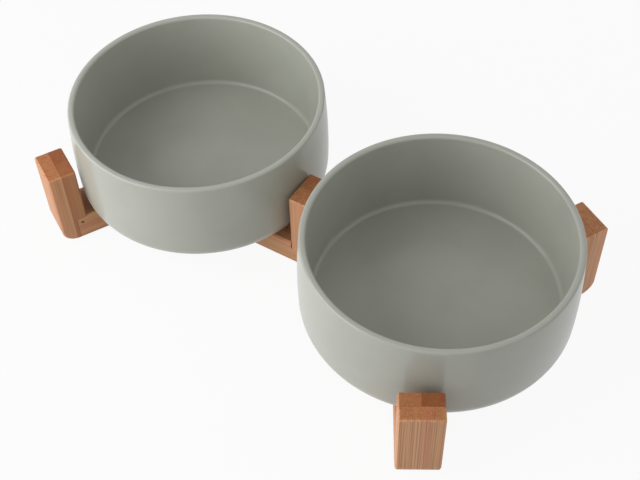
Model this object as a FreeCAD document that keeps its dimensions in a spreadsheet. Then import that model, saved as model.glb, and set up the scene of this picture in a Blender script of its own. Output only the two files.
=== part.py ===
import FreeCAD, Part
import math
import os

import Sketcher

# Double pet feeder: two stoneware bowls in a low bamboo stand.
# The stand lies on the ground plane z = 0, with its spine rail along X and the origin under its middle.
# Under each bowl three rails meet as a pinwheel: one side of every rail lies on a line through the hub,
# and its end is mitred to butt against that side of the next rail.

QUARTER_TURN = 90
HALF_TURN = 180
FULL_TURN = 360
RAILS_PER_HUB = 3
THIRD_TURN = FULL_TURN / RAILS_PER_HUB
MITRE = HALF_TURN - THIRD_TURN

# Driving dimensions in millimetres.
SIZES = {
    # Bowls
    "bowl_radius": 77.4,
    "bowl_height": 63.3,
    "belly_height": 27.0,
    "wall_curve": 400.0,
    "bowl_wall": 4.0,
    "rim_ease": 1.2,
    "floor_thickness": 7.0,
    "cove": 3.5,
    "heel_height": 15.3,
    "heel_radius": 13.5,
    "heel_sweep": 30.0,
    "foot_radius": 62.0,
    "foot_width": 8.0,
    "foot_recess": 1.8,
    # Bamboo sticks, laid flat as rails and stood up as posts
    "stick_width": 24.2,
    "stick_thickness": 17.0,
    "edge_ease": 0.9,
    "post_height": 55.7,
    "lap_thickness": 10.3,
    "toe_radius": 9.4,
    # Room between bowls and posts, and how each loose bowl lies off its hub
    "bowl_play": 2.2,
    "left_bowl_inwards": 1.8,
    "left_bowl_forwards": 0.3,
    "right_bowl_inwards": 0.8,
    "right_bowl_backwards": 1.9,
    # Joints of the stand
    "housing_depth": 5.4,
    "tongue_width": 12.0,
    "tongue_depth": 9.0,
    "tongue_gap": 0.1,
    "pin_width": 1.8,
    "pin_thickness": 1.2,
    "pin_drop": 4.1,
    "pin_sink": 0.4,
    "pin_cover": 3.8,
    "pin_gap": 0.05,
    "key_length": 20.0,
    "key_width": 12.0,
    "key_thickness": 5.0,
    "key_cover": 2.0,
    "key_gap": 0.1,
    # Rubber pads under the rails
    "pad_size": 10.0,
    "pad_thickness": 1.0,
}

# Sizes that follow from the driving dimensions, written as cell formulas.
DERIVED = {
    "post_reach": "=bowl_radius + bowl_play",
    "seam_reach": "=post_reach + stick_thickness - lap_thickness",
    "tongue_reach": "=(post_reach + seam_reach) / 2",
    "hub_x": "=post_reach + stick_thickness / 2",
    "hub_y": "=stick_width / 2",
    "mitre_run": f"=stick_width / tan({MITRE})",
    "mitre_middle": f"=stick_width / sin({MITRE}) / 2",
    "toe_fillet": "=min(toe_radius; lap_thickness - edge_ease)",
    "pin_height": "=stick_thickness - pin_drop",
    "pin_length": "=stick_width - pin_sink - pin_cover",
    "pin_half_width": "=pin_width / 2 + pin_gap",
    "pin_half_thickness": "=pin_thickness / 2 + pin_gap",
    "mortise_half_width": "=key_width / 2 + key_gap",
    "mortise_half_thickness": "=key_thickness / 2 + key_gap",
    "mortise_depth": "=key_length / 2 + key_gap",
    "housing_floor": "=stick_thickness - housing_depth",
    "rail_top": "=pad_thickness + stick_thickness",
    # The outer wall is an arc about a point far beyond the axis, and the heel's arc is tangent to it
    "wall_x": "=bowl_radius - wall_curve",
    "heel_reach": "=wall_curve - heel_radius",
    "heel_x": "=wall_x + sqrt(heel_reach^2 - (heel_height - belly_height)^2)",
    "heel_end_x": "=heel_x + heel_radius * cos(heel_sweep)",
    "heel_end": "=heel_height - heel_radius * sin(heel_sweep)",
    "heel_top_x": "=wall_x + (heel_x - wall_x) * wall_curve / heel_reach",
    "heel_top": "=belly_height + (heel_height - belly_height) * wall_curve / heel_reach",
    "wall_top": "=bowl_height - rim_ease",
    "wall_top_x": "=wall_x + sqrt(wall_curve^2 - (wall_top - belly_height)^2)",
    "inner_radius": "=wall_top_x - bowl_wall",
    "floor_height": "=foot_recess + floor_thickness",
}

# Each arm leaves its hub at a third of a turn from the spine: side of the stand, then angle from +X.
LEFT, RIGHT = range(-1, 2, 2)
ARMS = {
    "left_front": (LEFT, -THIRD_TURN),
    "left_rear": (LEFT, THIRD_TURN),
    "right_front": (RIGHT, -MITRE),
    "right_rear": (RIGHT, MITRE),
}
HUBS = {"left": (LEFT, 0), "right": (RIGHT, HALF_TURN)}

HORIZONTAL_AXIS, VERTICAL_AXIS = range(-1, -3, -1)
START, END = range(1, 3)
ORIGIN_POINT = (HORIZONTAL_AXIS, START)
TOLERANCE = 1e-4
UP = FreeCAD.Vector(0, 0, 1)

doc = FreeCAD.newDocument("pet_feeder")
nodes = []


def make_sheet():
    """Fill the sheet of sizes, one named cell to a row."""
    sheet = doc.addObject("Spreadsheet::Sheet", "dim")
    for row, (name, content) in enumerate({**SIZES, **DERIVED}.items(), start=1):
        sheet.set(f"A{row}", name)
        sheet.set(f"B{row}", str(content))
        sheet.setAlias(f"B{row}", name)
    doc.recompute()
    return sheet


dim = make_sheet()


def value(expression):
    """Work out an expression on the sheet as a plain number."""
    return float(dim.evalExpression(expression))


def add_node(obj, label):
    """Name a finished sub-part and list it for writing."""
    obj.Label = label
    nodes.append(obj)
    return obj


def place(obj, across, along, up, turn=0):
    """Bind where an object stands to the sheet, turned about the upright."""
    obj.Placement = FreeCAD.Placement(FreeCAD.Vector(), FreeCAD.Rotation(UP, turn))
    for axis, expression in zip("xyz", (across, along, up)):
        obj.setExpression(f"Placement.Base.{axis}", expression)


def at_hub(side, turn=0, across="0", along="0"):
    """Write where a point of an arm's own frame lies in the stand, as a pair of expressions."""
    return (
        f"{side} * dim.hub_x + ({across}) * cos({turn}) - ({along}) * sin({turn})",
        f"{-side} * dim.hub_y + ({across}) * sin({turn}) + ({along}) * cos({turn})",
    )


def new_body(name):
    """Start a solid body."""
    return doc.addObject("PartDesign::Body", name)


def new_sketch(body, role, name, lift=None, turn=0):
    """Put a sketch on a plane of the body's origin, lifted off it or turned about the upright."""
    plane = next(item for item in body.Origin.OriginFeatures if item.Role == role)
    sketch = body.newObject("Sketcher::SketchObject", name)
    sketch.AttachmentSupport = [(plane, "")]
    sketch.MapMode = "FlatFace"
    if lift:
        sketch.setExpression("AttachmentOffset.Base.z", lift)
    if turn:
        upright_in_sketch = FreeCAD.Vector(0, 1, 0)
        spin = FreeCAD.Rotation(upright_in_sketch, turn)
        sketch.AttachmentOffset = FreeCAD.Placement(FreeCAD.Vector(), spin)
    return sketch


def bind(sketch, constraint, expression):
    """Add a constraint whose size comes from the sheet."""
    index = sketch.addConstraint(constraint)
    sketch.setExpression(f"Constraints[{index}]", expression)


def tie_point(sketch, geometry, end, across, up):
    """Hold a sketch point at two distances from the sketch's origin."""
    directions = (("DistanceX", VERTICAL_AXIS, across), ("DistanceY", HORIZONTAL_AXIS, up))
    for kind, axis, expression in directions:
        size = value(expression)
        if abs(size) < TOLERANCE:
            sketch.addConstraint(Sketcher.Constraint("PointOnObject", geometry, end, axis))
        elif size < 0:
            constraint = Sketcher.Constraint(kind, geometry, end, *ORIGIN_POINT, -size)
            bind(sketch, constraint, f"-({expression})")
        else:
            constraint = Sketcher.Constraint(kind, *ORIGIN_POINT, geometry, end, size)
            bind(sketch, constraint, expression)


def join(sketch, first, first_end, second, second_end):
    """Make two sketch points one."""
    sketch.addConstraint(Sketcher.Constraint("Coincident", first, first_end, second, second_end))


def arc_between(start, end, radius):
    """Make the arc of a given radius that bulges to the right of the way from start to end."""
    chord = end - start
    back = math.sqrt(radius**2 - chord.Length**2 / 4)
    left = FreeCAD.Vector(-chord.y, chord.x, 0).normalize()
    centre = (start + end) / 2 + left * back
    top = centre - left * radius
    return Part.Arc(start, top, end)


def draw_outline(sketch, corners, arcs=None):
    """Draw a closed outline through corners given as pairs of expressions.

    The sides are straight, apart from those named in arcs by their first corner, with their radius.
    An arc bulges to the right of the way along it.
    """
    arcs = arcs or {}
    points = [FreeCAD.Vector(value(across), value(up), 0) for across, up in corners]
    for corner, start, end in zip(corners, points, points[1:] + points[:1]):
        if corner in arcs:
            sketch.addGeometry(arc_between(start, end, value(arcs[corner])))
        else:
            sketch.addGeometry(Part.LineSegment(start, end))
    for index, corner in enumerate(corners):
        join(sketch, index, END, (index + 1) % len(corners), START)
        tie_point(sketch, index, START, *corner)
        if corner in arcs:
            bind(sketch, Sketcher.Constraint("Radius", index, value(arcs[corner])), arcs[corner])


def draw_box(sketch, left, low, right, high):
    """Draw a rectangle from expressions for its four sides."""
    draw_outline(sketch, [(left, low), (right, low), (right, high), (left, high)])


def pad(body, sketch, length, reverse=False):
    """Raise a solid from a sketch."""
    feature = body.newObject("PartDesign::Pad", f"{sketch.Name}_pad")
    feature.Profile = sketch
    feature.setExpression("Length", length)
    feature.Reversed = reverse
    doc.recompute()
    return feature


def pocket(body, sketch, depth, reverse=False):
    """Cut a pocket from a sketch, and make sure that it removed wood."""
    before = body.Shape.Volume
    feature = body.newObject("PartDesign::Pocket", f"{sketch.Name}_cut")
    feature.Profile = sketch
    feature.setExpression("Length", depth)
    feature.Reversed = reverse
    doc.recompute()
    if body.Shape.Volume > before - TOLERANCE:
        raise RuntimeError(f"{feature.Name} removes nothing")
    return feature


def edges_where(feature, wanted):
    """Name the edges of a feature whose middle point passes the given test."""
    names = []
    for number, edge in enumerate(feature.Shape.Edges, start=1):
        middle = edge.valueAt((edge.FirstParameter + edge.LastParameter) / 2)
        if wanted(middle):
            names.append(f"Edge{number}")
    return names


def round_edges(body, base, radius, wanted):
    """Round the edges that pass the test."""
    feature = body.newObject("PartDesign::Fillet", f"{base.Name}_round")
    feature.Base = (base, edges_where(base, wanted))
    feature.setExpression("Radius", radius)
    doc.recompute()
    return feature


def ease_edges(body, base, wanted):
    """Take the sharpness off the edges that pass the test."""
    feature = body.newObject("PartDesign::Chamfer", f"{base.Name}_eased")
    feature.Base = (base, edges_where(base, wanted))
    feature.setExpression("Size", "dim.edge_ease")
    doc.recompute()
    return feature


def near(size, expression):
    """Tell whether a measured size is the one that an expression gives."""
    return abs(size - value(expression)) < TOLERANCE


def draw_bowl_profile(sketch):
    """Draw half of a bowl's section: recessed foot, round heel, bellied wall, eased rim, cove and floor."""
    inside_of_foot = "dim.foot_radius - dim.foot_width"
    foot = [
        ("0", "dim.foot_recess"),
        (inside_of_foot, "dim.foot_recess"),
        (inside_of_foot, "0"),
        ("dim.foot_radius", "0"),
    ]
    heel = ("dim.heel_end_x", "dim.heel_end")
    outer_wall = ("dim.heel_top_x", "dim.heel_top")
    rim = [
        ("dim.wall_top_x", "dim.wall_top"),
        ("dim.wall_top_x - dim.rim_ease", "dim.bowl_height"),
        ("dim.inner_radius + dim.rim_ease", "dim.bowl_height"),
        ("dim.inner_radius", "dim.wall_top"),
    ]
    inside = [
        ("dim.inner_radius", "dim.floor_height + dim.cove"),
        ("dim.inner_radius - dim.cove", "dim.floor_height"),
        ("0", "dim.floor_height"),
    ]
    arcs = {heel: "dim.heel_radius", outer_wall: "dim.wall_curve"}
    draw_outline(sketch, [*foot, heel, outer_wall, *rim, *inside], arcs)


def make_bowl(label, across, along):
    """Turn one bowl and stand it on the rails."""
    body = new_body(label)
    sketch = new_sketch(body, "XZ_Plane", f"{label}_profile")
    draw_bowl_profile(sketch)
    turned = body.newObject("PartDesign::Revolution", f"{label}_turned")
    turned.Profile = sketch
    turned.ReferenceAxis = (sketch, ["V_Axis"])
    turned.Angle = FULL_TURN
    doc.recompute()
    place(body, across, along, "dim.rail_top")
    add_node(body, label)


def ease_rail(body, blank, left, right):
    """Ease the four long edges of a rail whose sides lie at the given offsets."""

    def is_long(point):
        on_side = near(point.y, left) or near(point.y, right)
        on_face = near(point.z, "0") or near(point.z, "dim.stick_thickness")
        return on_side and on_face

    ease_edges(body, blank, is_long)


def cut_pin_hole(body, name, depth):
    """Cut the hole of a post's flat brad from the arm's left side."""
    sketch = new_sketch(body, "XZ_Plane", name)
    left, right = (f"dim.tongue_reach {sign} dim.pin_half_width" for sign in "-+")
    low, high = (f"dim.pin_height {sign} dim.pin_half_thickness" for sign in "-+")
    draw_box(sketch, left, low, right, high)
    pocket(body, sketch, depth, reverse=True)


def cut_mortise(body, name, middle, lift=None, turn=0, reverse=False):
    """Cut the mortise of a key in an upright face, half way up the stick."""
    sketch = new_sketch(body, "XZ_Plane", name, lift, turn)
    low = "dim.stick_thickness / 2 - dim.mortise_half_thickness"
    high = "dim.stick_thickness / 2 + dim.mortise_half_thickness"
    left = f"{middle} - dim.mortise_half_width"
    right = f"{middle} + dim.mortise_half_width"
    draw_box(sketch, left, low, right, high)
    return pocket(body, sketch, "dim.mortise_depth", reverse)


def cut_upright_mortise(body, name, depth, reverse=False):
    """Cut the mortise of the middle post's key from the level of the housing's floor."""
    sketch = new_sketch(body, "XY_Plane", name, lift="dim.housing_floor")
    half_width, half_thickness = "dim.mortise_half_width", "dim.mortise_half_thickness"
    draw_box(sketch, f"-{half_thickness}", f"-{half_width}", half_thickness, half_width)
    pocket(body, sketch, depth, reverse)


def make_arm_rail(arm, side, turn):
    """Cut one arm rail: mitred at the hub, slotted and pinned at the post."""
    label = f"{arm}_rail"
    body = new_body(label)
    plan = new_sketch(body, "XY_Plane", f"{label}_plan")
    mitred_end = [("0", "0"), ("-dim.mitre_run", "-dim.stick_width")]
    square_end = [("dim.seam_reach", "-dim.stick_width"), ("dim.seam_reach", "0")]
    draw_outline(plan, mitred_end + square_end)
    blank = pad(body, plan, "dim.stick_thickness")
    ease_rail(body, blank, "0", "-dim.stick_width")
    slot = new_sketch(body, "XY_Plane", f"{label}_slot", lift="dim.stick_thickness")
    slot_half = "(dim.tongue_width / 2 + dim.tongue_gap)"
    slot_start = "dim.post_reach - dim.tongue_gap"
    slot_end = "dim.seam_reach + dim.tongue_gap"
    draw_box(slot, slot_start, f"-dim.hub_y - {slot_half}", slot_end, f"-dim.hub_y + {slot_half}")
    pocket(body, slot, "dim.tongue_depth + dim.tongue_gap")
    cut_pin_hole(body, f"{label}_pin", "dim.pin_sink + dim.pin_length + dim.pin_gap")
    cut_mortise(body, f"{label}_side_key", "dim.mitre_middle", reverse=True)
    cut_mortise(body, f"{label}_end_key", "dim.mitre_middle", turn=-THIRD_TURN)
    place(body, *at_hub(side), "dim.pad_thickness", turn)
    add_node(body, label)


def make_arm_post(arm, side, turn):
    """Cut one outer post: its outer half laps the rail's end and its tongue sits in the rail's slot."""
    label = f"{arm}_post"
    body = new_body(label)
    outer_reach = "dim.post_reach + dim.stick_thickness"
    outline = new_sketch(body, "XZ_Plane", f"{label}_outline")
    head = [("dim.post_reach", "dim.stick_thickness"), ("dim.post_reach", "dim.post_height")]
    outside = [(outer_reach, "dim.post_height"), (outer_reach, "0")]
    notch = [("dim.seam_reach", "0"), ("dim.seam_reach", "dim.stick_thickness")]
    draw_outline(outline, head + outside + notch)
    blank = pad(body, outline, "dim.stick_width")

    def is_toe(point):
        return near(point.z, "0") and near(point.x, outer_reach)

    def is_outside(point):
        on_seam = near(point.x, "dim.seam_reach")
        on_shoulder = near(point.z, "dim.stick_thickness")
        crosses_toe = near(point.y, "-dim.hub_y") and point.z < dim.stick_thickness
        return not (on_seam or on_shoulder or crosses_toe)

    toed = round_edges(body, blank, "dim.toe_fillet", is_toe)
    ease_edges(body, toed, is_outside)
    tongue = new_sketch(body, "XY_Plane", f"{label}_tongue", lift="dim.stick_thickness")
    half = "dim.tongue_width / 2"
    draw_box(tongue, "dim.post_reach", f"-dim.hub_y - {half}", "dim.seam_reach", f"-dim.hub_y + {half}")
    pad(body, tongue, "dim.tongue_depth", reverse=True)
    cut_pin_hole(body, f"{label}_pin", "dim.stick_width")
    place(body, *at_hub(side), "dim.pad_thickness", turn)
    add_node(body, label)


def make_spine_rail():
    """Cut the rail that joins the two hubs, mitred at both ends and housed for the middle post."""
    label = "spine_rail"
    body = new_body(label)
    plan = new_sketch(body, "XY_Plane", f"{label}_plan")
    right_end = [("dim.hub_x", "-dim.hub_y"), ("dim.hub_x + dim.mitre_run", "dim.hub_y")]
    left_end = [("-dim.hub_x", "dim.hub_y"), ("-dim.hub_x - dim.mitre_run", "-dim.hub_y")]
    draw_outline(plan, right_end + left_end)
    blank = pad(body, plan, "dim.stick_thickness")
    ease_rail(body, blank, "-dim.hub_y", "dim.hub_y")
    housing = new_sketch(body, "XY_Plane", f"{label}_housing", lift="dim.stick_thickness")
    half = "dim.stick_thickness / 2"
    draw_box(housing, f"-{half}", "-dim.stick_width", half, "dim.stick_width")
    pocket(body, housing, "dim.housing_depth")
    cut_upright_mortise(body, f"{label}_post_key", "dim.housing_floor - dim.key_cover + dim.key_gap")
    place(body, "0", "0", "dim.pad_thickness")
    return body


def cut_spine_mortises(body):
    """Cut the mortises of both hubs, one hub's pair repeated half a turn round."""
    label = "spine_rail"
    side_cut = cut_mortise(body, f"{label}_side_key", "dim.hub_x - dim.mitre_middle", lift="dim.hub_y")
    end_cut = body.newObject("PartDesign::SubtractiveBox", f"{label}_end_key")
    end_cut.setExpression("Length", "dim.mortise_depth")
    end_cut.setExpression("Width", "2 * dim.mortise_half_width")
    end_cut.setExpression("Height", "2 * dim.mortise_half_thickness")
    across = f"dim.hub_x + dim.mitre_run / 2 + dim.mortise_half_width * cos({MITRE})"
    along = f"dim.mortise_half_width * sin({MITRE})"
    up = "dim.stick_thickness / 2 - dim.mortise_half_thickness"
    place(end_cut, across, along, up, QUARTER_TURN + MITRE)
    doc.recompute()
    pattern = body.newObject("PartDesign::PolarPattern", f"{label}_both_hubs")
    upright = next(item for item in body.Origin.OriginFeatures if item.Role == "Z_Axis")
    pattern.Originals = [side_cut, end_cut]
    pattern.Axis = (upright, [""])
    pattern.Angle = FULL_TURN
    pattern.Occurrences = len(HUBS)
    body.Tip = pattern
    doc.recompute()
    add_node(body, label)


def make_middle_post():
    """Cut the post that both bowls share."""
    label = "middle_post"
    body = new_body(label)
    plan = new_sketch(body, "XY_Plane", f"{label}_plan", lift="dim.housing_floor")
    half = "dim.stick_thickness / 2"
    draw_box(plan, f"-{half}", "-dim.hub_y", half, "dim.hub_y")
    blank = pad(body, plan, "dim.post_height - dim.housing_floor")
    ease_edges(body, blank, lambda point: not near(point.z, "dim.housing_floor"))
    mortise_top = "dim.key_cover + dim.key_length + dim.key_gap"
    cut_upright_mortise(body, f"{label}_mortise", f"{mortise_top} - dim.housing_floor", reverse=True)
    place(body, "0", "0", "dim.pad_thickness")
    add_node(body, label)


def make_block(name, length, width, height):
    """Make a plain block with sizes from the sheet."""
    block = doc.addObject("Part::Box", name)
    for side, size in zip(("Length", "Width", "Height"), (length, width, height)):
        block.setExpression(side, size)
    return block


def group(label, pieces):
    """Gather loose pieces of one kind in one node."""
    compound = doc.addObject("Part::Compound", label)
    compound.Links = pieces
    add_node(compound, label)


def make_hub_keys(hub, side, spine_turn):
    """Make the three keys of one hub, each across the joint of two rails."""
    keys = []
    for number in range(RAILS_PER_HUB):
        turn = spine_turn + number * THIRD_TURN
        name = f"{hub}_hub_key_{number + 1}"
        key = make_block(name, "dim.key_length", "dim.key_width", "dim.key_thickness")
        corner = at_hub(side, turn, "dim.mitre_middle - dim.key_width / 2", "dim.key_length / 2")
        level = "dim.pad_thickness + (dim.stick_thickness - dim.key_thickness) / 2"
        place(key, *corner, level, turn - QUARTER_TURN)
        keys.append(key)
    group(f"{hub}_hub_keys", keys)


def make_post_key():
    """Make the upright key under the middle post."""
    key = make_block("middle_post_key", "dim.key_thickness", "dim.key_width", "dim.key_length")
    level = "dim.pad_thickness + dim.key_cover"
    place(key, "-dim.key_thickness / 2", "-dim.key_width / 2", level)
    add_node(key, "middle_post_key")


def make_post_pins():
    """Make the flat brads that pin each outer post's tongue in its rail."""
    pins = []
    for arm, (side, turn) in ARMS.items():
        pin = make_block(f"{arm}_pin", "dim.pin_width", "dim.pin_length", "dim.pin_thickness")
        point = ("dim.tongue_reach - dim.pin_width / 2", "-dim.pin_sink - dim.pin_length")
        level = "dim.pad_thickness + dim.pin_height - dim.pin_thickness / 2"
        place(pin, *at_hub(side, turn, *point), level, turn)
        pins.append(pin)
    group("post_pins", pins)


def make_pad(label, across, along, turn=0):
    """Stick one rubber pad under a rail."""
    block = make_block(label, "dim.pad_size", "dim.pad_size", "dim.pad_thickness")
    place(block, across, along, "0", turn)
    add_node(block, label)


def make_pads():
    """Put a pad under each arm rail's outer end and one under the middle of the spine."""
    for arm, (side, turn) in ARMS.items():
        corner = at_hub(side, turn, "dim.post_reach - dim.pad_size", "-dim.hub_y - dim.pad_size / 2")
        make_pad(f"{arm}_pad", *corner, turn)
    make_pad("middle_pad", "-dim.pad_size / 2", "-dim.pad_size / 2")


def write_parts():
    """Check every object and write each sub-part to its own file."""
    doc.recompute()
    for obj in doc.Objects:
        if "Invalid" in obj.State or "Error" in obj.State:
            raise RuntimeError(f"{obj.Name} failed: {obj.State}")
    for node in nodes:
        if node.Shape.isNull() or not node.Shape.isValid() or not node.Shape.Solids:
            raise RuntimeError(f"{node.Label} has no valid solid")
    os.makedirs("parts", exist_ok=True)
    for node in nodes:
        node.Shape.exportStep(f"parts/{node.Label}.step")
        print(f"{node.Label}: {len(node.Shape.Solids)} solid, {node.Shape.Volume:.0f} cubic mm")


make_bowl("left_bowl", "-dim.hub_x + dim.left_bowl_inwards", "dim.hub_y - dim.left_bowl_forwards")
make_bowl("right_bowl", "dim.hub_x - dim.right_bowl_inwards", "-dim.hub_y + dim.right_bowl_backwards")
cut_spine_mortises(make_spine_rail())
make_middle_post()
for arm_name, (arm_side, arm_turn) in ARMS.items():
    make_arm_rail(arm_name, arm_side, arm_turn)
    make_arm_post(arm_name, arm_side, arm_turn)
for hub_name, (hub_side, hub_turn) in HUBS.items():
    make_hub_keys(hub_name, hub_side, hub_turn)
make_post_key()
make_post_pins()
make_pads()
write_parts()
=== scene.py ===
import logging
import math
from dataclasses import dataclass, field
from enum import Enum

import bmesh
import bpy
from mathutils import Matrix, Vector


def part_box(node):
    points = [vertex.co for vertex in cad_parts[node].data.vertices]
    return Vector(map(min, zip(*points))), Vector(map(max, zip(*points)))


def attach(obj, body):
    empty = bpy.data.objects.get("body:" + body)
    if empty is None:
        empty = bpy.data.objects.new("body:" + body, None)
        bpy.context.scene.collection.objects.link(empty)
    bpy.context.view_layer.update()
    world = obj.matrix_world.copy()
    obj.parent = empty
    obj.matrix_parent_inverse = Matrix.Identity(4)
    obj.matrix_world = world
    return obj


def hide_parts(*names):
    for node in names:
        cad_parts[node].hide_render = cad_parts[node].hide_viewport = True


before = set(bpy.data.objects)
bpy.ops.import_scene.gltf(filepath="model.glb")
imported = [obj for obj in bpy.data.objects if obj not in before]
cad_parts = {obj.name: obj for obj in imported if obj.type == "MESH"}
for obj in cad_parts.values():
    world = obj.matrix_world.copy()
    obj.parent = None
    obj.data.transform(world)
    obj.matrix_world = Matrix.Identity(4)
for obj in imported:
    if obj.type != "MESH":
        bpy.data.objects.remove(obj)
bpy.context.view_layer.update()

IMAGE_WIDTH = 640
MM = 0.001
QUARTER_TURN = math.radians(90.0)
UP = Vector((0.0, 0.0, 1.0))
WHITE = (1.0, 1.0, 1.0, 1.0)
BACKGROUND_RAYS = ("Is Camera Ray", "Is Glossy Ray", "Is Transmission Ray")

Colour = tuple[float, float, float]
Scale = tuple[float, float, float]
Tones = tuple[float, float, float]
Range = tuple[float, float]
Socket = bpy.types.NodeSocket

RISE: Range = (0.0, 1.0)
FALL: Range = (1.0, 0.0)

log = logging.getLogger("pet_feeder")


class Side(Enum):
    """The two bowls' sides of the stand."""

    LEFT = "left"
    RIGHT = "right"


class Arm(Enum):
    """The four outer arms, each with the angle at which it leaves its hub, in degrees from +X."""

    LEFT_FRONT = ("left_front", -120.0)
    LEFT_REAR = ("left_rear", 120.0)
    RIGHT_FRONT = ("right_front", -60.0)
    RIGHT_REAR = ("right_rear", 60.0)

    @property
    def label(self) -> str:
        """The arm's name in the frame's nodes."""
        return self.value[0]

    @property
    def turn(self) -> float:
        """The arm's direction in radians."""
        return math.radians(self.value[1])


class Lie(Enum):
    """How a stick of bamboo is used."""

    UPRIGHT = "upright"
    FLAT = "flat"


class Quality(Enum):
    """What a finish sets on a surface, with its name in Blender."""

    COLOUR = "Base Color"
    ROUGHNESS = "Roughness"
    GLOSS = "Specular IOR Level"
    COAT = "Coat Weight"
    COAT_ROUGHNESS = "Coat Roughness"
    METAL = "Metallic"


class Wiring:
    """A node tree, with short calls that add and join its nodes."""

    def __init__(self, tree: bpy.types.NodeTree) -> None:
        """Takes hold of a node tree."""
        self.tree = tree

    def add(self, kind: str, **settings: object) -> bpy.types.Node:
        """Adds a node.

        Args:
            kind: The node's type, without the words that all shader nodes share.
            settings: Properties to set on it.

        Returns:
            The new node.
        """
        node = self.tree.nodes.new(f"ShaderNode{kind}")
        for name, value in settings.items():
            setattr(node, name, value)
        return node

    def feed(self, socket: Socket, value: object) -> None:
        """Joins an output to a socket, or sets the socket to a plain value.

        Args:
            socket: The input.
            value: An output socket, or what the input takes when nothing is joined to it.
        """
        if isinstance(value, bpy.types.NodeSocket):
            self.tree.links.new(value, socket)
        else:
            socket.default_value = value

    def math(self, operation: str, *values: object) -> Socket:
        """Adds a calculation.

        Args:
            operation: The calculation's name in Blender.
            values: Its inputs, each an output socket or a number.

        Returns:
            The result's socket.
        """
        node = self.add("Math", operation=operation)
        for socket, value in zip(node.inputs, values):
            self.feed(socket, value)
        return node.outputs[0]

    def facing(self, direction: Socket, axis: Vector) -> Socket:
        """Compares a direction with a fixed one.

        Args:
            direction: The direction, of length one.
            axis: The fixed direction, of length one.

        Returns:
            How far they agree, from minus one to one.
        """
        node = self.add("VectorMath", operation="DOT_PRODUCT")
        self.feed(node.inputs[0], direction)
        self.feed(node.inputs[1], axis)
        return node.outputs["Value"]

    def background_rays(self) -> Socket:
        """Picks out the rays that show the background, straight or in something shiny.

        Returns:
            One for those rays, and nought for all others.
        """
        path = self.add("LightPath")
        shown, *others = (path.outputs[ray] for ray in BACKGROUND_RAYS)
        for other in others:
            shown = self.math("MAXIMUM", shown, other)
        return shown


class Shader(Wiring):
    """A material with a principled surface, with short calls for what its patterns need."""

    def __init__(self, name: str) -> None:
        """Starts the material.

        Args:
            name: The material's name.
        """
        self.material = bpy.data.materials.new(name)
        self.material.use_nodes = True
        super().__init__(self.material.node_tree)
        self.surface = self.tree.nodes["Principled BSDF"]

    def give(self, quality: Quality, value: object) -> None:
        """Gives the surface a quality, as an output socket or a plain value."""
        self.feed(self.surface.inputs[quality.value], value)

    def spread(self, value: Socket, span: Range, result: Range = RISE) -> Socket:
        """Maps a range of a value to another range, and holds it at the ends.

        Args:
            value: What to map.
            span: The two values that become the result's start and end.
            result: The result's start and end.

        Returns:
            The mapped value's socket.
        """
        node = self.add("MapRange", interpolation_type="SMOOTHSTEP")
        self.feed(node.inputs["Value"], value)
        for name, number in zip(("From Min", "From Max", "To Min", "To Max"), span + result):
            self.feed(node.inputs[name], number)
        return node.outputs["Result"]

    def mix(self, share: object, first: object, second: object, blend: str = "MIX") -> Socket:
        """Mixes two colours.

        Args:
            share: How much of the second colour, as a socket or a number.
            first: The first colour, as a socket or red, green and blue.
            second: The second colour, likewise.
            blend: How they are mixed.

        Returns:
            The mixed colour's socket.
        """
        node = self.add("Mix", data_type="RGBA", blend_type=blend)
        ends = [socket for socket in node.inputs if socket.type == "RGBA"]
        self.feed(node.inputs["Factor"], share)
        for socket, colour in zip(ends, (first, second)):
            self.feed(socket, colour if isinstance(colour, bpy.types.NodeSocket) else (*colour, 1.0))
        return next(socket for socket in node.outputs if socket.type == "RGBA")

    def place(self, move: Matrix, stretch: Scale = (1.0, 1.0, 1.0)) -> Socket:
        """Gives a piece's own coordinates in a frame of the pattern's.

        Args:
            move: From the object's frame to the pattern's.
            stretch: A scale along each of the pattern's axes.

        Returns:
            The coordinates' socket.
        """
        turned = self.add("Mapping", vector_type="POINT")
        self.feed(turned.inputs["Vector"], self.add("TexCoord").outputs["Object"])
        self.feed(turned.inputs["Location"], move.translation)
        self.feed(turned.inputs["Rotation"], move.to_euler())
        scaled = self.add("VectorMath", operation="MULTIPLY")
        self.feed(scaled.inputs[0], turned.outputs["Vector"])
        self.feed(scaled.inputs[1], stretch)
        return scaled.outputs[0]

    def split(self, where: Socket) -> tuple[Socket, Socket, Socket]:
        """Takes coordinates apart.

        Args:
            where: The coordinates.

        Returns:
            The sockets of x, y and z.
        """
        node = self.add("SeparateXYZ")
        self.feed(node.inputs[0], where)
        return tuple(node.outputs)

    def squareness(self, axis: Vector) -> Socket:
        """Gives how squarely the surface faces along an axis, either way, from nought to one."""
        normal = self.add("NewGeometry").outputs["Normal"]
        return self.math("ABSOLUTE", self.facing(normal, axis))

    def noise(self, where: Socket, scale: float, detail: float = 3.0, rough: float = 0.55) -> Socket:
        """Adds a cloudy noise.

        Args:
            where: The coordinates.
            scale: Features to the unit of the coordinates.
            detail: Octaves.
            rough: How strong the finer octaves are.

        Returns:
            The noise's value, about a half.
        """
        node = self.add("TexNoise")
        self.feed(node.inputs["Vector"], where)
        self.feed(node.inputs["Scale"], scale)
        self.feed(node.inputs["Detail"], detail)
        self.feed(node.inputs["Roughness"], rough)
        return node.outputs["Fac"]

    def bump(self, height: Socket, strength: float, depth: float) -> None:
        """Raises the surface by a height pattern.

        Args:
            height: The pattern.
            strength: The share of the bump that shows.
            depth: The pattern's full height in metres.
        """
        node = self.add("Bump")
        self.feed(node.inputs["Strength"], strength)
        self.feed(node.inputs["Distance"], depth)
        self.feed(node.inputs["Height"], height)
        self.feed(self.surface.inputs["Normal"], node.outputs["Normal"])


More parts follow.
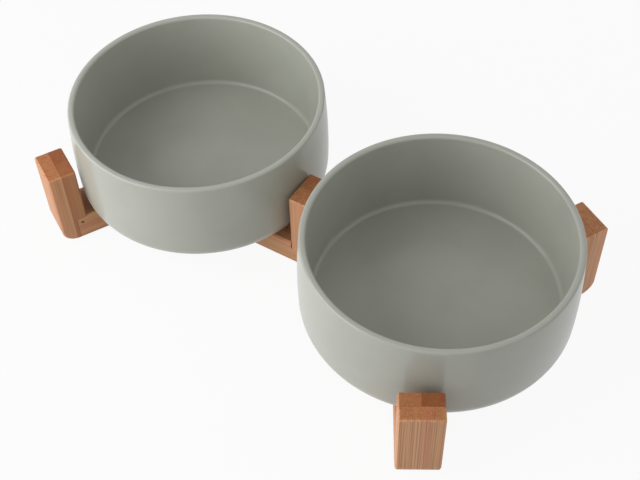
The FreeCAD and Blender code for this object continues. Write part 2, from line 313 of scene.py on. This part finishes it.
@dataclass(frozen=True)
class GlazeFinish:
    """Matte grey-green stoneware glaze, paler on the rim top where it thins and as a painted highlight,
    with a bare clay foot.
    """

    body: Colour = (0.425, 0.437, 0.382)
    pale: Colour = (0.450, 0.462, 0.405)
    # rim: paler colour of the rim top, partly thin glaze and partly a painted highlight
    rim: Colour = (0.520, 0.530, 0.472)
    speck: Colour = (0.340, 0.340, 0.295)
    clay: Colour = (0.560, 0.500, 0.410)
    cloud_scale: float = 28.0
    cloud_span: Range = (0.35, 0.65)
    speck_scale: float = 1500.0
    speck_detail: float = 1.0
    speck_span: Range = (0.66, 0.78)
    speck_share: float = 0.35
    rim_band: float = 1.0 * MM
    rim_glaze_and_highlight_share: float = 0.4
    foot_band: float = 0.5 * MM
    roughness_span: Range = (0.3, 0.7)
    roughness: Range = (0.335, 0.385)
    gloss: float = 0.30
    coat: float = 0.35
    coat_roughness: float = 0.15
    peel_scale: float = 900.0
    peel_strength: float = 0.10
    peel_depth: float = 0.10 * MM

    def material(self, name: str, base: float, top: float) -> bpy.types.Material:
        """Makes the glaze for one bowl.

        Args:
            name: The material's name.
            base: The height of the bowl's foot.
            top: The height of the bowl's rim.

        Returns:
            The material.
        """
        shader = Shader(name)
        where = shader.place(Matrix.Identity(4))
        _, _, level = shader.split(where)
        cloud = shader.noise(where, self.cloud_scale)
        speck = shader.noise(where, self.speck_scale, self.speck_detail)
        colour = shader.mix(shader.spread(cloud, self.cloud_span), self.body, self.pale)
        specks = shader.spread(speck, self.speck_span, (0.0, self.speck_share))
        colour = shader.mix(specks, colour, self.speck)
        # Paints the top of the rim paler: partly thin glaze, partly a painted highlight.
        thin_glaze_and_highlight = shader.spread(level, (top - self.rim_band, top), (0.0, self.rim_glaze_and_highlight_share))
        colour = shader.mix(thin_glaze_and_highlight, colour, self.rim)
        bare = shader.spread(level, (base, base + self.foot_band), FALL)
        colour = shader.mix(bare, colour, self.clay)
        shader.give(Quality.COLOUR, colour)
        shader.give(Quality.ROUGHNESS, shader.spread(cloud, self.roughness_span, self.roughness))
        shader.give(Quality.GLOSS, self.gloss)
        shader.give(Quality.COAT, self.coat)
        shader.give(Quality.COAT_ROUGHNESS, self.coat_roughness)
        shader.bump(shader.noise(where, self.peel_scale), self.peel_strength, self.peel_depth)
        return shader.material


@dataclass(frozen=True)
class StickFrame:
    """Where a stick of bamboo lies: the middle of its section, and its direction.

    In the stick's own frame z runs along it, x through its thickness and y across its width. A rail
    has its butt at that z, where its end is glued against a post.
    """

    middle: Vector
    turn: float
    lie: Lie
    butt: float | None = None

    def from_object(self) -> Matrix:
        """Works out where the object's places lie in the stick.

        Returns:
            The move from the object's frame to the stick's own.
        """
        upright = Matrix.Rotation(-self.turn, 4, "Z") @ Matrix.Translation(-self.middle)
        if self.lie is Lie.UPRIGHT:
            return upright
        return Matrix.Rotation(-QUARTER_TURN, 4, "Y") @ upright

    def axes(self) -> tuple[Vector, Vector, Vector]:
        """Gives the directions out from the hub, to the side and up, in the object's frame."""
        turn = Matrix.Rotation(self.turn, 3, "Z")
        return turn.col[0].copy(), turn.col[1].copy(), UP

    def along(self) -> Vector:
        """Gives the direction of the stick's length in the object's frame."""
        outwards, _, up = self.axes()
        return up if self.lie is Lie.UPRIGHT else outwards

    def broad(self) -> Vector:
        """Gives the direction that the broad faces of its strips look in."""
        outwards, _, up = self.axes()
        return outwards if self.lie is Lie.UPRIGHT else up


@dataclass(frozen=True)
class Strips:
    """The tones of a stick's three strips, from tan at nought to brown at one, and its grain's shift."""

    outer: float
    inner_left: float
    inner_right: float
    shift: float


@dataclass(frozen=True)
class BambooFinish:
    """Carbonised bamboo, laminated from one strip outside and two inside, with fine straight fibres."""

    tan: Colour = (0.940, 0.540, 0.310)
    brown: Colour = (0.430, 0.170, 0.066)
    streak: Colour = (0.310, 0.115, 0.050)
    rose: Colour = (0.93, 0.80, 0.80)
    straw: Colour = (0.98, 1.04, 0.99)
    end_tone: Colour = (0.82, 0.66, 0.51)
    end_pore: Colour = (0.66, 0.50, 0.38)
    glue: Colour = (0.42, 0.33, 0.27)
    # worn: lighter colour of the edges, partly wear and partly a painted highlight along the chamfers
    worn: Colour = (1.18, 1.20, 1.22)
    strip_shift: float = 7.0
    streak_detail: float = 4.0
    streak_rough: float = 0.6
    fibre_pitch: float = 0.85 * MM
    fibre_length: float = 260.0 * MM
    fibre_span: Range = (0.46, 0.60)
    broad_span: Range = (0.3, 0.9)
    line_depths: Range = (0.20, 0.60)
    band_pitch: float = 5.0 * MM
    band_length: float = 200.0 * MM
    band_span: Range = (0.35, 0.65)
    vein_pitch: float = 3.2 * MM
    vein_length: float = 120.0 * MM
    vein_span: Range = (0.4, 0.7)
    vein_share: float = 0.35
    end_span: Range = (0.6, 0.9)
    pore_pitch: float = 0.7 * MM
    pore_detail: float = 2.0
    pore_span: Range = (0.45, 0.62)
    pore_share: float = 0.8
    glue_line: float = 0.28 * MM
    layer_dark: float = 0.60
    strip_dark: float = 0.40
    seam_line: float = 0.7 * MM
    seam_dark: float = 0.9
    # Edges painted lighter, as wear and as a painted highlight.
    edge_span: Range = (0.74, 0.93)
    edge_wear_and_highlight: float = 0.8
    roughness_span: Range = (0.3, 0.7)
    roughness: Range = (0.44, 0.60)
    gloss: float = 0.35
    grain_strength: float = 0.25
    grain_depth: float = 0.2 * MM

    def material(self, name: str, stick: StickFrame, strips: Strips) -> bpy.types.Material:
        """Makes the bamboo of one stick.

        Args:
            name: The material's name.
            stick: Where the stick lies.
            strips: The tones of its strips.

        Returns:
            The material.
        """
        shader = Shader(name)
        move = stick.from_object()
        plain = shader.place(move)
        through, across, length = shader.split(plain)
        inner = shader.math("LESS_THAN", through, 0.0)
        half = shader.math("LESS_THAN", across, 0.0)
        offset = self._offset(shader, inner, half, strips.shift)
        fibre = self._streaks(shader, move, offset, self.fibre_pitch, self.fibre_length)
        vein = self._streaks(shader, move, offset, self.vein_pitch, self.vein_length)
        band = self._streaks(shader, move, offset, self.band_pitch, self.band_length)

        pair = shader.mix(half, self._tone(strips.inner_right), self._tone(strips.inner_left))
        colour = shader.mix(inner, self._tone(strips.outer), pair)
        hue = shader.mix(shader.spread(band, self.band_span), self.rose, self.straw)
        colour = shader.mix(1.0, colour, hue, "MULTIPLY")
        veins = shader.spread(vein, self.vein_span, (0.0, self.vein_share))
        colour = shader.mix(veins, colour, self.brown)
        depth = shader.spread(shader.squareness(stick.broad()), self.broad_span, self.line_depths)
        lines = shader.math("MULTIPLY", shader.spread(fibre, self.fibre_span), depth)
        colour = shader.mix(lines, colour, self.streak)
        colour = self._end_grain(shader, stick, plain, colour)

        if stick.lie is Lie.UPRIGHT:
            joints = self._glue_lines(shader, through, across, inner)
            colour = shader.mix(joints, colour, self.glue, "MULTIPLY")
        if stick.butt is not None:
            from_butt = shader.math("ABSOLUTE", shader.math("SUBTRACT", length, stick.butt))
            seam = shader.spread(from_butt, (0.0, self.seam_line), (self.seam_dark, 0.0))
            colour = shader.mix(seam, colour, self.glue, "MULTIPLY")
        # Edges painted lighter: partly wear, partly a painted highlight.
        colour = shader.mix(self._edge_wear_and_highlight_share(shader, stick), colour, self.worn, "MULTIPLY")

        shader.give(Quality.COLOUR, colour)
        shader.give(Quality.ROUGHNESS, shader.spread(fibre, self.roughness_span, self.roughness))
        shader.give(Quality.GLOSS, self.gloss)
        shader.bump(fibre, self.grain_strength, self.grain_depth)
        return shader.material

    def _tone(self, share: float) -> Colour:
        """Gives a strip's colour, from tan at nought to brown at one."""
        return tuple(Vector(self.tan).lerp(Vector(self.brown), share))

    def _offset(self, shader: Shader, inner: Socket, half: Socket, shift: float) -> Socket:
        """Sets the grain of each strip apart from its neighbours', and each stick's from the others'.

        Args:
            shader: The material's nodes.
            inner: One in the inner layer.
            half: One on the side of the inner layer's left strip.
            shift: The stick's own shift.

        Returns:
            The offset of the grain's coordinates.
        """
        strip = shader.math("ADD", inner, shader.math("MULTIPLY", inner, half))
        node = shader.add("CombineXYZ")
        shader.feed(node.inputs["X"], shader.math("MULTIPLY", strip, self.strip_shift))
        shader.feed(node.inputs["Z"], shift)
        return node.outputs[0]

    def _streaks(self, shader: Shader, move: Matrix, offset: Socket, pitch: float, length: float) -> Socket:
        """Makes streaks along the stick.

        Args:
            shader: The material's nodes.
            move: From the object's frame to the stick's.
            offset: What sets the strips' streaks apart.
            pitch: The streaks' spacing across the stick.
            length: The streaks' length.

        Returns:
            The streaks' value, about a half.
        """
        shifted = shader.add("VectorMath", operation="ADD")
        shader.feed(shifted.inputs[0], shader.place(move, (1.0 / pitch, 1.0 / pitch, 1.0 / length)))
        shader.feed(shifted.inputs[1], offset)
        return shader.noise(shifted.outputs[0], 1.0, self.streak_detail, self.streak_rough)

    def _end_grain(self, shader: Shader, stick: StickFrame, plain: Socket, colour: Socket) -> Socket:
        """Darkens the faces that cut across the stick, and dots them with pores.

        Args:
            shader: The material's nodes.
            stick: Where the stick lies.
            plain: The coordinates in the stick's frame.
            colour: The colour along the stick.

        Returns:
            The colour with the end grain.
        """
        pores = shader.noise(plain, 1.0 / self.pore_pitch, self.pore_detail)
        dots = shader.spread(pores, self.pore_span, (0.0, self.pore_share))
        shade = shader.mix(dots, self.end_tone, self.end_pore)
        end = shader.spread(shader.squareness(stick.along()), self.end_span)
        return shader.mix(end, colour, shader.mix(1.0, colour, shade, "MULTIPLY"))

    def _glue_lines(self, shader: Shader, through: Socket, across: Socket, inner: Socket) -> Socket:
        """Gives a share of dark along the joints between the strips.

        Args:
            shader: The material's nodes.
            through: The place through the stick's thickness.
            across: The place across its width.
            inner: One in the inner layer, which has two strips.

        Returns:
            The share of dark.
        """
        near = (0.0, self.glue_line)
        layer = shader.spread(shader.math("ABSOLUTE", through), near, (self.layer_dark, 0.0))
        strip = shader.spread(shader.math("ABSOLUTE", across), near, (self.strip_dark, 0.0))
        return shader.math("MAXIMUM", layer, shader.math("MULTIPLY", strip, inner))

    def _edge_wear_and_highlight_share(self, shader: Shader, stick: StickFrame) -> Socket:
        """Finds the rounded edges, which face none of the stick's own directions, to paint them lighter as
        partly wear and partly a painted highlight.

        Args:
            shader: The material's nodes.
            stick: Where the stick lies.

        Returns:
            The share of wear and painted highlight.
        """
        squarest = 0.0
        for axis in stick.axes():
            squarest = shader.math("MAXIMUM", squarest, shader.squareness(axis))
        return shader.spread(squarest, self.edge_span, (self.edge_wear_and_highlight, 0.0))


@dataclass(frozen=True)
class RubberFinish:
    """Dull dark rubber of the pads under the rails."""

    dark: Colour = (0.020, 0.020, 0.021)
    worn: Colour = (0.055, 0.053, 0.050)
    grain_scale: float = 1800.0
    grain_strength: float = 0.3
    grain_depth: float = 0.1 * MM
    roughness_span: Range = (0.3, 0.7)
    roughness: Range = (0.7, 0.9)

    def material(self) -> bpy.types.Material:
        """Makes the rubber.

        Returns:
            The material.
        """
        shader = Shader("pad_rubber")
        grain = shader.noise(shader.place(Matrix.Identity(4)), self.grain_scale)
        shader.give(Quality.COLOUR, shader.mix(grain, self.dark, self.worn))
        shader.give(Quality.ROUGHNESS, shader.spread(grain, self.roughness_span, self.roughness))
        shader.bump(grain, self.grain_strength, self.grain_depth)
        return shader.material


@dataclass(frozen=True)
class BradFinish:
    """Dark oxidised steel of the brads."""

    dark: Colour = (0.030, 0.024, 0.020)
    bright: Colour = (0.110, 0.095, 0.085)
    stain_scale: float = 2500.0
    roughness_span: Range = (0.3, 0.7)
    roughness: Range = (0.45, 0.7)
    metal: float = 0.8

    def material(self) -> bpy.types.Material:
        """Makes the steel.

        Returns:
            The material.
        """
        shader = Shader("brad_steel")
        stain = shader.noise(shader.place(Matrix.Identity(4)), self.stain_scale)
        shader.give(Quality.COLOUR, shader.mix(stain, self.dark, self.bright))
        shader.give(Quality.ROUGHNESS, shader.spread(stain, self.roughness_span, self.roughness))
        shader.give(Quality.METAL, self.metal)
        return shader.material


class ProfilePen:
    """Draws a lathe's profile in the XZ plane, on from one vertex."""

    def __init__(self, mesh: bmesh.types.BMesh, radius: float, height: float) -> None:
        """Puts the pen down.

        Args:
            mesh: What to draw in.
            radius: The start's distance from the axis.
            height: The start's height.
        """
        self.mesh = mesh
        self.tip = mesh.verts.new((radius, 0.0, height))

    def line(self, radius: float, height: float) -> None:
        """Draws a straight run.

        Args:
            radius: The end's distance from the axis.
            height: The end's height.
        """
        start = self.tip.co.copy()
        self.tip = bmesh.ops.extrude_vert_indiv(self.mesh, verts=[self.tip])["verts"][0]
        bmesh.ops.translate(self.mesh, verts=[self.tip], vec=Vector((radius, 0.0, height)) - start)

    def arc(self, radius: float, height: float, sweep: float, steps: int) -> None:
        """Draws an arc.

        Args:
            radius: The arc's centre, from the axis.
            height: The arc's centre, upwards.
            sweep: The angle, in radians, from the axis outwards and up.
            steps: The arc's edges.
        """
        made = bmesh.ops.spin(
            self.mesh,
            geom=[self.tip],
            cent=(radius, 0.0, height),
            axis=(0.0, -1.0, 0.0),
            angle=sweep,
            steps=steps,
        )
        self.tip = next(part for part in made["geom_last"] if isinstance(part, bmesh.types.BMVert))


@dataclass
class Bowl:
    """One stoneware bowl, turned from its profile."""

    side: Side
    finish: GlazeFinish
    wall: float = 4.0 * MM
    wall_curve: float = 400.0 * MM
    belly: float = 27.0 * MM
    floor: float = 8.8 * MM
    cove: float = 3.0 * MM
    lip_outside: float = 1.4 * MM
    lip_inside: float = 1.7 * MM
    heel: float = 13.5 * MM
    heel_height: float = 15.3 * MM
    heel_sweep: float = math.radians(30.0)
    foot: float = 62.0 * MM
    foot_width: float = 8.0 * MM
    recess: float = 1.8 * MM
    turns: int = 160
    wall_steps: int = 16
    corner_steps: int = 8
    merge_reach: float = 0.001 * MM
    piece: bpy.types.Object = field(init=False)

    @property
    def node(self) -> str:
        """The frame's node and body of this bowl."""
        return f"{self.side.value}_bowl"

    def build(self) -> None:
        """Turns the bowl where the frame has it, and rides it on its body."""
        low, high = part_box(self.node)
        middle = (low + high) / 2
        mesh = bmesh.new()
        self._draw_profile(mesh, (high.x - low.x) / 2, high.z - low.z)
        bmesh.ops.spin(
            mesh,
            geom=mesh.verts[:] + mesh.edges[:],
            cent=(0.0, 0.0, 0.0),
            axis=UP,
            angle=math.tau,
            steps=self.turns,
            use_merge=True,
        )
        bmesh.ops.remove_doubles(mesh, verts=mesh.verts[:], dist=self.merge_reach)
        bmesh.ops.recalc_face_normals(mesh, faces=mesh.faces[:])
        bmesh.ops.translate(mesh, verts=mesh.verts[:], vec=(middle.x, middle.y, low.z))
        data = bpy.data.meshes.new(f"{self.node}_turned")
        mesh.to_mesh(data)
        mesh.free()
        data.shade_smooth()
        self.piece = bpy.data.objects.new(f"{self.node}_turned", data)
        bpy.context.scene.collection.objects.link(self.piece)
        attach(self.piece, self.node)
        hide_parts(self.node)

    def dress(self) -> None:
        """Glazes the bowl."""
        low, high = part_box(self.node)
        self.piece.data.materials.append(self.finish.material(f"{self.node}_glaze", low.z, high.z))
        log.info("%s stands for %s", self.piece.name, self.node)

    def _draw_profile(self, mesh: bmesh.types.BMesh, radius: float, height: float) -> None:
        """Draws half of the bowl's section, from the middle of its underside to the middle of its floor.

        Args:
            mesh: What to draw in.
            radius: The belly's radius.
            height: The bowl's height.
        """
        wall_centre = radius - self.wall_curve
        heel_reach = self.wall_curve - self.heel
        heel_tilt = math.asin((self.heel_height - self.belly) / heel_reach)
        heel_centre = wall_centre + heel_reach * math.cos(heel_tilt)
        rim_tilt = math.asin((height - self.lip_outside - self.belly) / self.wall_curve)
        rim_outside = wall_centre + self.wall_curve * math.cos(rim_tilt)
        inside = rim_outside - self.wall
        pen = ProfilePen(mesh, 0.0, self.recess)
        pen.line(self.foot - self.foot_width, self.recess)
        pen.line(self.foot - self.foot_width, 0.0)
        pen.line(self.foot, 0.0)
        pen.line(
            heel_centre + self.heel * math.cos(self.heel_sweep),
            self.heel_height - self.heel * math.sin(self.heel_sweep),
        )
        pen.arc(heel_centre, self.heel_height, self.heel_sweep + heel_tilt, self.corner_steps)
        pen.arc(wall_centre, self.belly, rim_tilt - heel_tilt, self.wall_steps)
        pen.arc(rim_outside - self.lip_outside, height - self.lip_outside, QUARTER_TURN, self.corner_steps)
        pen.line(inside + self.lip_inside, height)
        pen.arc(inside + self.lip_inside, height - self.lip_inside, QUARTER_TURN, self.corner_steps)
        pen.line(inside, self.floor + self.cove)
        pen.arc(inside - self.cove, self.floor + self.cove, -QUARTER_TURN, self.corner_steps)
        pen.line(0.0, self.floor)


@dataclass
class Stand:
    """The bamboo stand, whose solids come from the frame and get their finishes here."""

    bamboo: BambooFinish
    rubber: RubberFinish
    brad: BradFinish
    hidden: tuple[str, ...] = ("left_hub_keys", "right_hub_keys", "middle_post_key")
    plain_tones: Tones = (0.50, 0.50, 0.57)
    tones: dict[str, Tones] = field(
        default_factory=lambda: {
            "left_front_post": (0.52, 1.00, 0.88),
            "left_front_rail": (0.60, 0.60, 0.64),
            "left_rear_post": (0.44, 0.32, 0.56),
            "right_front_post": (0.38, 0.56, 1.00),
            "right_rear_post": (0.00, 0.10, 0.04),
            "middle_post": (0.26, 0.38, 0.62),
        }
    )

    def dress(self) -> None:
        """Gives every piece of the stand its finish."""
        for shift, (node, stick) in enumerate(self._sticks().items()):
            strips = Strips(*self.tones.get(node, self.plain_tones), float(shift))
            self._finish(node, self.bamboo.material(f"{node}_bamboo", stick, strips))
        rubber = self.rubber.material()
        for node in [f"{arm.label}_pad" for arm in Arm] + ["middle_pad"]:
            self._finish(node, rubber)
        self._finish("post_pins", self.brad.material())

    def _sticks(self) -> dict[str, StickFrame]:
        """Finds where the stand's sticks lie.

        Returns:
            Each wooden node's stick.
        """
        sticks = {
            "middle_post": StickFrame(self._middle("middle_post"), 0.0, Lie.UPRIGHT),
            "spine_rail": StickFrame(self._middle("spine_rail"), 0.0, Lie.FLAT),
        }
        for arm in Arm:
            post, rail = f"{arm.label}_post", f"{arm.label}_rail"
            middle = self._middle(post)
            sticks[post] = StickFrame(middle, arm.turn, Lie.UPRIGHT)
            middle = Vector((*middle.xy, self._middle(rail).z))
            butt = self._reach(rail, StickFrame(middle, arm.turn, Lie.FLAT))
            sticks[rail] = StickFrame(middle, arm.turn, Lie.FLAT, butt)
        for node in self.hidden:
            sticks[node] = StickFrame(self._middle(node), 0.0, Lie.FLAT)
        return sticks

    def _middle(self, node: str) -> Vector:
        """Gives the middle of a node's box."""
        low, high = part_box(node)
        return (low + high) / 2

    def _reach(self, node: str, stick: StickFrame) -> float:
        """Gives how far a node goes outwards from the middle of its stick."""
        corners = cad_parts[node].data.vertices
        return max((corner.co - stick.middle).dot(stick.along()) for corner in corners)

    def _finish(self, node: str, material: bpy.types.Material) -> None:
        """Puts a material on one node of the frame.

        Args:
            node: The node's name.
            material: Its material.
        """
        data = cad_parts[node].data
        data.materials.clear()
        data.materials.append(material)
        log.info("%s gets %s", node, material.name)


@dataclass
class Studio:
    """The floor, the light and the camera."""

    camera_at: Vector = field(default_factory=lambda: Vector((0.24125, -0.36990, 0.54417)))
    heading: float = math.radians(32.613)
    pitch: float = math.radians(50.263)
    roll: float = math.radians(-1.791)
    focal_pixels: float = 1143.7
    near_clip: float = 0.01
    floor_size: float = 6.0
    floor_grey: float = 0.7
    floor_roughness: float = 0.9
    floor_glow: float = 0.93
    key_power: float = 4.5
    key_size: float = 0.7
    key_reach: float = 0.75
    key_side: Vector = field(default_factory=lambda: Vector((-0.85, -0.25, 0.5)))
    sky_level: float = 0.34
    fill: float = 0.37
    fill_side: Vector = field(default_factory=lambda: Vector((1.0, 0.0, 0.0)))

    def build(self) -> None:
        """Sets up everything round the object."""
        self._lay_floor()
        self._hang_light()
        self._make_sky()
        self._set_camera()
        bpy.context.scene.view_settings.view_transform = "Standard"

    def _lay_floor(self) -> None:
        """Lays a plain pale floor under the pads, which shows white and keeps the object's shadow."""
        mesh = bmesh.new()
        bmesh.ops.create_grid(mesh, x_segments=1, y_segments=1, size=self.floor_size / 2)
        data = bpy.data.meshes.new("floor")
        mesh.to_mesh(data)
        mesh.free()
        floor = bpy.data.objects.new("floor", data)
        bpy.context.scene.collection.objects.link(floor)
        shader = Shader("floor_white")
        shader.give(Quality.COLOUR, (self.floor_grey, self.floor_grey, self.floor_grey, 1.0))
        shader.give(Quality.ROUGHNESS, self.floor_roughness)
        glow = shader.add("Emission")
        shader.feed(glow.inputs["Color"], WHITE)
        blend = shader.add("MixShader")
        shown = shader.math("MULTIPLY", shader.background_rays(), self.floor_glow)
        for socket, value in zip(blend.inputs, (shown, shader.surface.outputs[0], glow.outputs[0])):
            shader.feed(socket, value)
        shader.feed(shader.tree.nodes["Material Output"].inputs["Surface"], blend.outputs[0])
        data.materials.append(shader.material)

    def _hang_light(self) -> None:
        """Hangs one large soft lamp on the camera's left."""
        lamp = bpy.data.lights.new("key", "AREA")
        lamp.energy = self.key_power
        lamp.size = self.key_size
        holder = bpy.data.objects.new("key", lamp)
        toward = Matrix.Rotation(self.heading, 3, "Z") @ self.key_side
        holder.location = toward.normalized() * self.key_reach
        holder.rotation_euler = (-toward).to_track_quat("-Z", "Y").to_euler()
        bpy.context.scene.collection.objects.link(holder)

    def _make_sky(self) -> None:
        """Makes an even sky with a broad soft fill on the camera's right."""
        world = bpy.data.worlds.new("studio")
        world.use_nodes = True
        sky = Wiring(world.node_tree)
        direction = sky.add("TexCoord").outputs["Generated"]
        fill_side = Matrix.Rotation(self.heading, 3, "Z") @ self.fill_side
        toward = sky.math("MAXIMUM", sky.facing(direction, fill_side), 0.0)
        level = sky.math("MULTIPLY_ADD", toward, self.fill, self.sky_level)
        strength = sky.math("MAXIMUM", level, sky.background_rays())
        backdrop = sky.tree.nodes["Background"]
        sky.feed(backdrop.inputs["Color"], WHITE)
        sky.feed(backdrop.inputs["Strength"], strength)
        bpy.context.scene.world = world

    def _set_camera(self) -> None:
        """Sets the camera where the photograph was taken from."""
        lens = bpy.data.cameras.new("camera")
        lens.lens = self.focal_pixels / IMAGE_WIDTH * lens.sensor_width
        lens.clip_start = self.near_clip
        camera = bpy.data.objects.new("camera", lens)
        turn = Matrix.Rotation(self.heading, 4, "Z")
        tip = Matrix.Rotation(QUARTER_TURN - self.pitch, 4, "X")
        lean = Matrix.Rotation(self.roll, 4, "Z")
        camera.matrix_world = Matrix.Translation(self.camera_at) @ turn @ tip @ lean
        bpy.context.scene.collection.objects.link(camera)
        bpy.context.scene.camera = camera


def main() -> None:
    """Builds and dresses the feeder, then the studio round it."""
    logging.basicConfig(level=logging.INFO)
    glaze = GlazeFinish()
    for side in Side:
        bowl = Bowl(side, glaze)
        bowl.build()
        bowl.dress()
    Stand(BambooFinish(), RubberFinish(), BradFinish()).dress()
    Studio().build()


if __name__ == "__main__":
    main()
